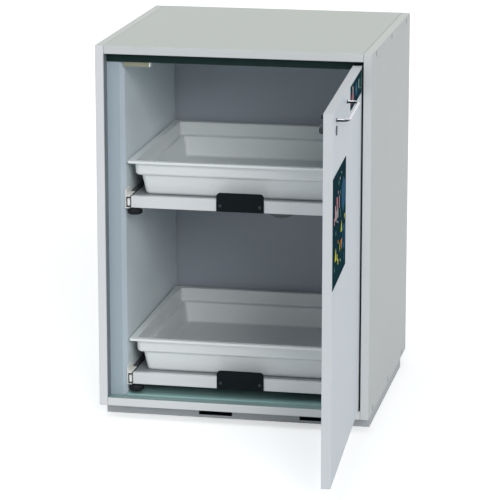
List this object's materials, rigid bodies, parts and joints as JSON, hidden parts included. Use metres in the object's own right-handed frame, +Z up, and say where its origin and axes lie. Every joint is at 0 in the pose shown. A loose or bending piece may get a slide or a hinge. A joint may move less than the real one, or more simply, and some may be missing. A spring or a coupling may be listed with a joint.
{
  "type": "reagent drawer cabinet",
  "caption": "Low laboratory cabinet with a side-hinged door, two pull-out shelves carrying deep plastic trays, a recessed plinth and a rear exhaust duct.",
  "frame": {"origin": "middle of the plinth on the floor, on the underside of its middle brace", "axes": "+X to the right as one faces the door side, +Y to the rear, +Z up; the door stands open at rest"},
  "size_m": [0.618, 1.0957, 0.82],
  "materials": {
    "board": "matt melamine, fine orange peel",
    "door_board": "matt melamine, fine orange peel",
    "plinth": "matt melamine",
    "lining": "satin, smooth",
    "dark_seal": "matt",
    "black_plastic": "satin moulded",
    "dark_screw": "satin",
    "cap_plastic": "matt moulded",
    "duct_plastic": "satin moulded",
    "zinc_steel": "zinc plated",
    "nylon": "satin",
    "chrome": "polished",
    "lock_metal": "satin nickel",
    "door_plate": "satin print on aluminium",
    "rubber": "matt",
    "runner_steel": "white powder coat",
    "rail_steel": "white powder coat",
    "tray_plastic": "satin vacuum formed"
  },
  "bodies": {
    "carcass": {"side_panel_left": "board", "side_panel_right": "board", "base_board": "board", "top_board": "board", "carcass_screws": "dark_screw", "screw_caps": "cap_plastic", "plinth_front": "plinth", "plinth_rear": "plinth", "plinth_left": "plinth", "plinth_right": "plinth", "plinth_brace": "plinth", "plinth_inserts": "black_plastic", "liner_left": "lining", "liner_right": "lining", "liner_ceiling": "lining", "liner_floor": "lining", "header_seal": "dark_seal", "back_liner": "lining", "back_board": "board", "exhaust_spigot": "duct_plastic", "vent_ring": "duct_plastic", "lower_pivot": "zinc_steel", "upper_pivot": "zinc_steel", "lock_strike": "zinc_steel", "upper_outer_runner_left": "runner_steel", "upper_outer_runner_right": "runner_steel", "lower_outer_runner_left": "runner_steel", "lower_outer_runner_right": "runner_steel"},
    "door": {"door_leaf": "door_board", "lower_bush": "nylon", "upper_bush": "nylon", "door_handle": "chrome", "handle_screws": "zinc_steel", "lock_sleeve": "lock_metal", "lock_nut": "zinc_steel", "upper_door_plate": "door_plate", "lower_door_plate": "door_plate", "door_buffer": "rubber"},
    "lock": {"lock_cylinder": "lock_metal", "lock_cam": "zinc_steel"},
    "upper_middle_runners": {"upper_middle_runner_left": "runner_steel", "upper_middle_runner_right": "runner_steel"},
    "upper_drawer": {"upper_inner_runner_left": "runner_steel", "upper_inner_runner_right": "runner_steel", "upper_front_rail": "rail_steel", "upper_pan": "rail_steel", "upper_grip": "black_plastic", "upper_grip_screws": "dark_screw", "upper_discs": "rubber"},
    "upper_tray": {"upper_tray": "tray_plastic"},
    "lower_middle_runners": {"lower_middle_runner_left": "runner_steel", "lower_middle_runner_right": "runner_steel"},
    "lower_drawer": {"lower_inner_runner_left": "runner_steel", "lower_inner_runner_right": "runner_steel", "lower_front_rail": "rail_steel", "lower_pan": "rail_steel", "lower_grip": "black_plastic", "lower_grip_screws": "dark_screw", "lower_discs": "rubber"},
    "lower_tray": {"lower_tray": "tray_plastic"}
  },
  "joints": [
    {"name": "door_hinge", "type": "hinge", "parent": "carcass", "child": "door", "pos_m": [0.263, -0.2755, 0.05], "axis": [0, 0, 1], "range_deg": [-93, 12]},
    {"name": "lock_turn", "type": "hinge", "parent": "door", "child": "lock", "pos_m": [0.29763, -0.75484, 0.751], "axis": [0.9986, 0.0523, 0], "range_deg": [0, 90]},
    {"name": "upper_drawer_slide", "type": "slide", "parent": "carcass", "child": "upper_drawer", "axis": [0, -1, 0], "range_m": [0, 0.42]},
    {"name": "upper_middle_slide", "type": "slide", "parent": "carcass", "child": "upper_middle_runners", "axis": [0, -1, 0], "range_m": [0, 0.21]},
    {"name": "upper_tray_lift", "type": "slide", "parent": "upper_drawer", "child": "upper_tray", "axis": [0, 0, 1], "range_m": [0, 0.15]},
    {"name": "lower_drawer_slide", "type": "slide", "parent": "carcass", "child": "lower_drawer", "axis": [0, -1, 0], "range_m": [0, 0.42]},
    {"name": "lower_middle_slide", "type": "slide", "parent": "carcass", "child": "lower_middle_runners", "axis": [0, -1, 0], "range_m": [0, 0.21]},
    {"name": "lower_tray_lift", "type": "slide", "parent": "lower_drawer", "child": "lower_tray", "axis": [0, 0, 1], "range_m": [0, 0.15]}
  ],
  "couplings": [
    {"joint": "upper_middle_slide", "follows": "upper_drawer_slide", "ratio": 0.5},
    {"joint": "lower_middle_slide", "follows": "lower_drawer_slide", "ratio": 0.5}
  ]
}
